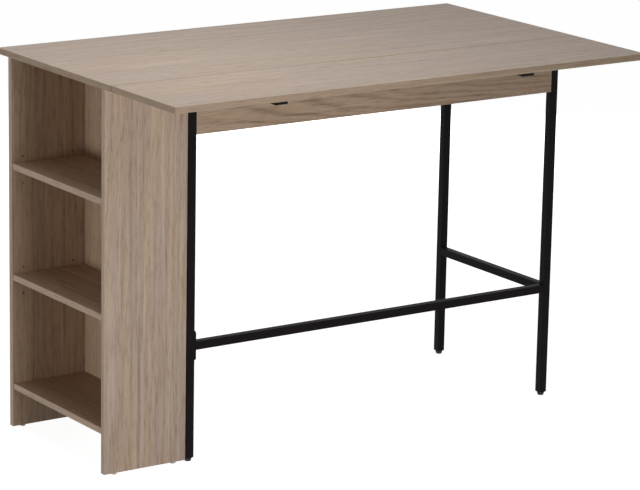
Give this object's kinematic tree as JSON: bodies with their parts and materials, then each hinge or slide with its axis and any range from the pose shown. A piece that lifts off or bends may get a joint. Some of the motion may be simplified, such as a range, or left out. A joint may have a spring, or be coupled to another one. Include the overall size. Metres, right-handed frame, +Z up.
{
  "type": "kitchen table with storage cabinet",
  "caption": "Counter-height oak-look kitchen table with a fold-down front leaf, an open shelf cabinet under one end and black square-tube legs with a foot rail.",
  "frame": {"origin": "on the floor under the middle of the table with its leaf open", "axes": "+X along the length away from the cabinet, +Y from the leaf to the back, +Z up"},
  "size_m": [1.306, 0.794, 0.92],
  "materials": {
    "oak_board": "greyish oak-grain laminate, satin",
    "black_steel": "matte black powder coat",
    "black_bolt": "black oxide",
    "zinc_steel": "bright zinc plate",
    "black_plastic": "moulded, matte",
    "pale_plastic": "moulded, satin",
    "beech": "fluted, raw"
  },
  "bodies": {
    "table": {"apron_angle_screws": "zinc_steel", "apron_angles": "black_steel", "apron_tab_screws": "zinc_steel", "apron_tabs": "black_steel", "bottom_shelf": "oak_board", "bracket_fixed_arms": "black_steel", "bracket_pivot_pins": "black_steel", "bracket_top_screws": "zinc_steel", "cabinet_back_panel": "oak_board", "cam_bolts": "zinc_steel", "cam_locks": "zinc_steel", "end_rail_screws": "zinc_steel", "flange_bolts": "black_bolt", "front_apron": "oak_board", "front_left_leg": "black_steel", "front_right_leg": "black_steel", "hinge_pins": "zinc_steel", "hinge_top_plates": "zinc_steel", "hinge_top_screws": "zinc_steel", "left_end_rail": "black_steel", "left_short_stretcher": "black_steel", "leg_plugs": "black_plastic", "long_stretcher": "black_steel", "main_top": "oak_board", "middle_shelf": "oak_board", "panel_bolts": "black_bolt", "panel_glides": "pale_plastic", "panel_inserts": "zinc_steel", "rear_apron": "oak_board", "rear_left_leg": "black_steel", "rear_right_leg": "black_steel", "right_end_rail": "black_steel", "right_short_stretcher": "black_steel", "rivet_nuts": "zinc_steel", "shelf_pins": "zinc_steel", "side_panel_front": "oak_board", "side_panel_rear": "oak_board", "stretcher_end_bolt": "black_bolt", "stretcher_end_nut": "zinc_steel", "stretcher_flange_plate": "black_steel", "upper_shelf": "oak_board", "wood_dowels": "beech"},
    "leaf": {"drop_leaf": "oak_board", "bracket_swing_arms": "black_steel", "bracket_leaf_screws": "zinc_steel", "hinge_leaf_plates": "zinc_steel", "hinge_leaf_screws": "zinc_steel"},
    "front_left_foot": {"levelling_foot_front_left": "black_plastic"},
    "rear_left_foot": {"levelling_foot_rear_left": "black_plastic"},
    "front_right_foot": {"levelling_foot_front_right": "black_plastic"},
    "rear_right_foot": {"levelling_foot_rear_right": "black_plastic"}
  },
  "joints": [
    {"name": "leaf_fold", "type": "hinge", "parent": "table", "child": "leaf", "pos_m": [0, -0.126, 0.9], "axis": [1, 0, 0], "range_deg": [0, 90]},
    {"name": "front_left_foot_screw", "type": "slide", "parent": "table", "child": "front_left_foot", "axis": [0, 0, -1], "range_m": [0, 0.01]},
    {"name": "rear_left_foot_screw", "type": "slide", "parent": "table", "child": "rear_left_foot", "axis": [0, 0, -1], "range_m": [0, 0.01]},
    {"name": "front_right_foot_screw", "type": "slide", "parent": "table", "child": "front_right_foot", "axis": [0, 0, -1], "range_m": [0, 0.01]},
    {"name": "rear_right_foot_screw", "type": "slide", "parent": "table", "child": "rear_right_foot", "axis": [0, 0, -1], "range_m": [0, 0.01]}
  ]
}
